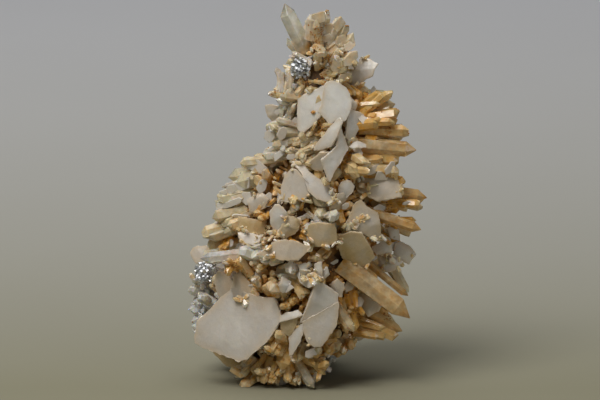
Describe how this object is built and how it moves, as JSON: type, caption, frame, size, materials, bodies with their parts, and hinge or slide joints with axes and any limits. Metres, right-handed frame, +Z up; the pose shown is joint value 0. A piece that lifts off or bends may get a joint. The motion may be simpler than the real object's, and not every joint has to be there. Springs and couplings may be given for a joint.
{
  "type": "calcite with quartz mineral specimen",
  "caption": "Tall tapering cluster of slender quartz crystals on rock, carrying pale flat calcite plates and small galena patches; stands on a flat foot.",
  "frame": {"origin": "middle of the flat resting face under the rock", "axes": "+Z up, the specimen's long direction; +X right as seen from the front, where the calcite plates are; -Y towards the viewer"},
  "size_m": [0.0958, 0.0758, 0.1533],
  "materials": {
    "calcite": "satin, milky translucent",
    "quartz": "glossy, pale yellow, translucent",
    "druse": "sparkling, iron-stained",
    "galena": "metallic, bright cleavage faces"
  },
  "bodies": {
    "root": {"calcite_big_plate": "calcite", "calcite_blade_top_right": "calcite", "calcite_blades_top": "calcite", "calcite_block_left_edge": "calcite", "calcite_chip_right": "calcite", "calcite_fan_centre": "calcite", "calcite_folded_plate": "calcite", "calcite_hexagon_left": "calcite", "calcite_knob_centre_right": "calcite", "calcite_pink_chip": "calcite", "calcite_plate_back_low": "calcite", "calcite_plate_back_middle": "calcite", "calcite_plate_back_upper": "calcite", "calcite_plate_left_low": "calcite", "calcite_plate_left_middle": "calcite", "calcite_plate_right_foot": "calcite", "calcite_plate_right_inner": "calcite", "calcite_plate_right_low": "calcite", "calcite_plate_right_middle": "calcite", "calcite_plate_right_upper": "calcite", "calcite_plate_summit_right": "calcite", "calcite_plate_top_left": "calcite", "calcite_plates_right_edge": "calcite", "calcite_prism_centre": "calcite", "calcite_round_plate_centre": "calcite", "calcite_round_plate_top": "calcite", "calcite_small_plate_left": "calcite", "calcite_small_plates_right": "calcite", "calcite_strip_centre": "calcite", "calcite_tan_plate_under": "calcite", "calcite_white_cluster": "calcite", "calcite_white_rosette": "calcite", "calcite_wide_plate_middle": "calcite", "galena_left": "galena", "galena_upper": "galena", "quartz_druse_on_rock": "druse", "quartz_needle_right": "quartz", "quartz_point_foot": "quartz", "quartz_point_left_end": "quartz", "quartz_point_low_olive": "quartz", "quartz_point_right_clear": "quartz", "quartz_point_right_large": "quartz", "quartz_point_right_middle": "quartz", "quartz_point_right_upper": "quartz", "quartz_point_top": "quartz", "quartz_point_top_small": "quartz"}
  },
  "joints": []
}
